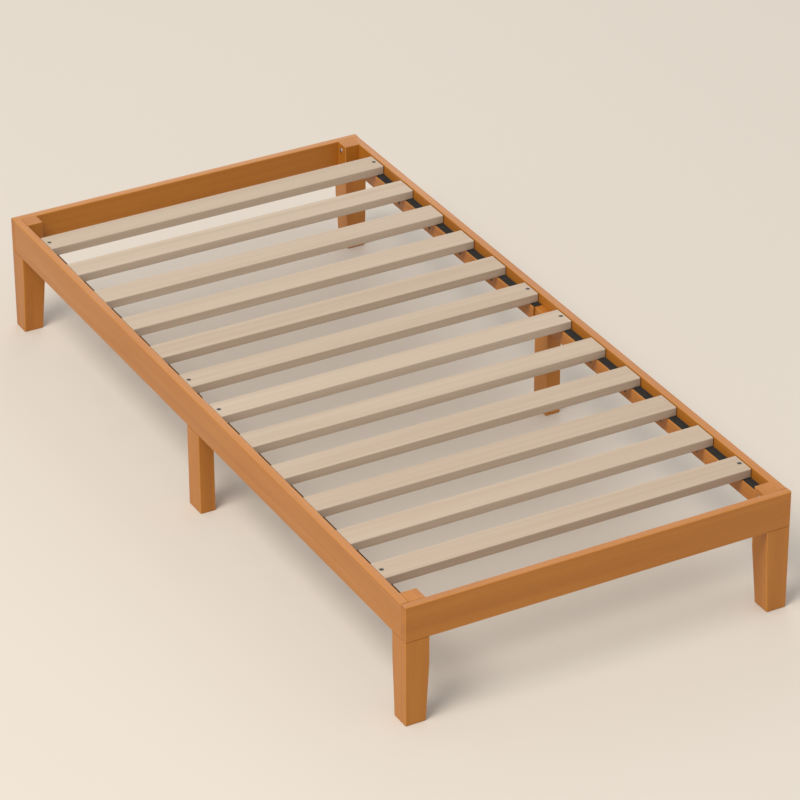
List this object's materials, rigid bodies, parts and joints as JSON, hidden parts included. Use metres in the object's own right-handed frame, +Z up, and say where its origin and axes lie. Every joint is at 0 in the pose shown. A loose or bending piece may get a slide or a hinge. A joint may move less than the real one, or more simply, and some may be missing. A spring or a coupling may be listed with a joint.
{
  "type": "slatted single bed frame",
  "caption": "Low wooden single bed frame: stained rails on square tapered legs, with pale slats laid across ledges inside the side rails.",
  "frame": {"origin": "on the floor, below the middle of the bed", "axes": "+Z up, +Y along the bed towards the head end, +X across the bed towards its right side"},
  "size_m": [0.98, 2.055, 0.304],
  "materials": {
    "stained_wood": "honey-orange stain under a satin clear coat",
    "slat_wood": "planed softwood, unfinished",
    "grip_tape": "woven anti-slip tape, matt",
    "black_screw": "black phosphate, dull",
    "zinc_steel": "bright zinc plate",
    "beech_dowel": "raw fluted beech"
  },
  "bodies": {
    "frame": {"left_side_rail": "stained_wood", "right_side_rail": "stained_wood", "head_rail": "stained_wood", "foot_rail": "stained_wood", "corner_leg_head_left": "stained_wood", "corner_leg_foot_left": "stained_wood", "corner_leg_head_right": "stained_wood", "corner_leg_foot_right": "stained_wood", "mid_leg_left": "stained_wood", "mid_leg_right": "stained_wood", "ledge_head_left": "stained_wood", "ledge_foot_left": "stained_wood", "ledge_head_right": "stained_wood", "ledge_foot_right": "stained_wood", "grip_strip_head_left": "grip_tape", "grip_strip_foot_left": "grip_tape", "grip_strip_head_right": "grip_tape", "grip_strip_foot_right": "grip_tape", "slat_01": "slat_wood", "slat_06": "slat_wood", "slat_07": "slat_wood", "slat_12": "slat_wood", "slat_screws": "black_screw", "ledge_screws": "black_screw", "corner_bolts": "zinc_steel", "corner_inserts": "zinc_steel", "mid_leg_bolts": "zinc_steel", "mid_leg_inserts": "zinc_steel", "rail_dowels": "beech_dowel"},
    "loose_slat_02": {"slat_02": "slat_wood"},
    "loose_slat_03": {"slat_03": "slat_wood"},
    "loose_slat_04": {"slat_04": "slat_wood"},
    "loose_slat_05": {"slat_05": "slat_wood"},
    "loose_slat_08": {"slat_08": "slat_wood"},
    "loose_slat_09": {"slat_09": "slat_wood"},
    "loose_slat_10": {"slat_10": "slat_wood"},
    "loose_slat_11": {"slat_11": "slat_wood"}
  },
  "joints": [
    {"name": "slat_02_lift", "type": "slide", "parent": "frame", "child": "loose_slat_02", "axis": [0, 0, 1], "range_m": [0, 0.1]},
    {"name": "slat_03_lift", "type": "slide", "parent": "frame", "child": "loose_slat_03", "axis": [0, 0, 1], "range_m": [0, 0.1]},
    {"name": "slat_04_lift", "type": "slide", "parent": "frame", "child": "loose_slat_04", "axis": [0, 0, 1], "range_m": [0, 0.1]},
    {"name": "slat_05_lift", "type": "slide", "parent": "frame", "child": "loose_slat_05", "axis": [0, 0, 1], "range_m": [0, 0.1]},
    {"name": "slat_08_lift", "type": "slide", "parent": "frame", "child": "loose_slat_08", "axis": [0, 0, 1], "range_m": [0, 0.1]},
    {"name": "slat_09_lift", "type": "slide", "parent": "frame", "child": "loose_slat_09", "axis": [0, 0, 1], "range_m": [0, 0.1]},
    {"name": "slat_10_lift", "type": "slide", "parent": "frame", "child": "loose_slat_10", "axis": [0, 0, 1], "range_m": [0, 0.1]},
    {"name": "slat_11_lift", "type": "slide", "parent": "frame", "child": "loose_slat_11", "axis": [0, 0, 1], "range_m": [0, 0.1]}
  ]
}
